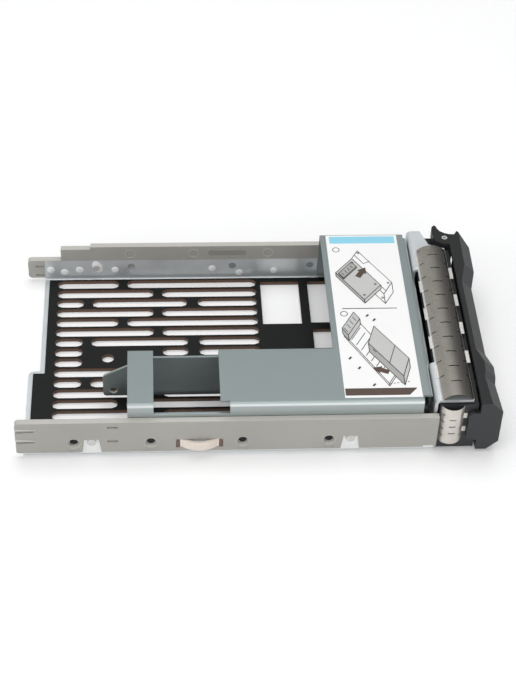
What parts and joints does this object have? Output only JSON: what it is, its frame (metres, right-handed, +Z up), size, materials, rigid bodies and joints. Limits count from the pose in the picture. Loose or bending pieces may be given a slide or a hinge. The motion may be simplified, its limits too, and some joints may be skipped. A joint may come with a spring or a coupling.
{
  "type": "hot swap drive caddy",
  "caption": "Hot swap drive caddy: slotted steel tray with grey plastic rails, folded adapter for a smaller drive, spring finger gaskets and a black hinged handle with a release lever.",
  "frame": {"origin": "On the steel underside of the tray floor, on the centre line between the rails, 24 mm in front of the rails' middle.", "axes": "X runs along the rails towards the bezel and handle, Y runs across the tray towards the rail beside the handle's hinge, Z is up out of the tray."},
  "size_m": [0.1905, 0.1112, 0.0291],
  "materials": {
    "galvanised_steel": "satin",
    "black_film": "matte",
    "grey_plastic": "satin",
    "cream_plastic": "satin",
    "pale_metal": "satin",
    "bracket_steel": "satin",
    "label_paper": "satin",
    "gasket_steel": "satin",
    "black_plastic": "satin",
    "screen_steel": "satin",
    "spring_steel": "satin",
    "lever_plastic": "satin"
  },
  "bodies": {
    "tray": {"tray_pan": "galvanised_steel", "base_insulator": "black_film", "near_rail": "grey_plastic", "far_rail": "grey_plastic", "near_spring": "cream_plastic", "far_spring": "cream_plastic", "drive_studs": "pale_metal", "adapter_bracket": "bracket_steel", "instruction_label": "label_paper", "top_gasket": "gasket_steel", "side_gasket": "gasket_steel", "bezel_frame": "black_plastic", "vent_screen": "screen_steel", "frame_screws": "pale_metal", "hinge_pin": "pale_metal", "handle_spring": "spring_steel"},
    "handle_body": {"handle": "black_plastic", "release_pin": "pale_metal", "release_spring": "spring_steel"},
    "lever_body": {"release_lever": "lever_plastic"}
  },
  "joints": [
    {"name": "handle_hinge", "type": "hinge", "parent": "tray", "child": "handle_body", "pos_m": [0.0728, 0.0466, 0.014], "axis": [0, 0, 1], "range_deg": [0, 45]},
    {"name": "release_rock", "type": "hinge", "parent": "handle_body", "child": "lever_body", "pos_m": [0.0776, -0.0324, 0.012], "axis": [0, 0, -1], "range_deg": [0, 5], "stiffness_Nm_per_rad": 0.05, "springref_deg": -10.03}
  ]
}
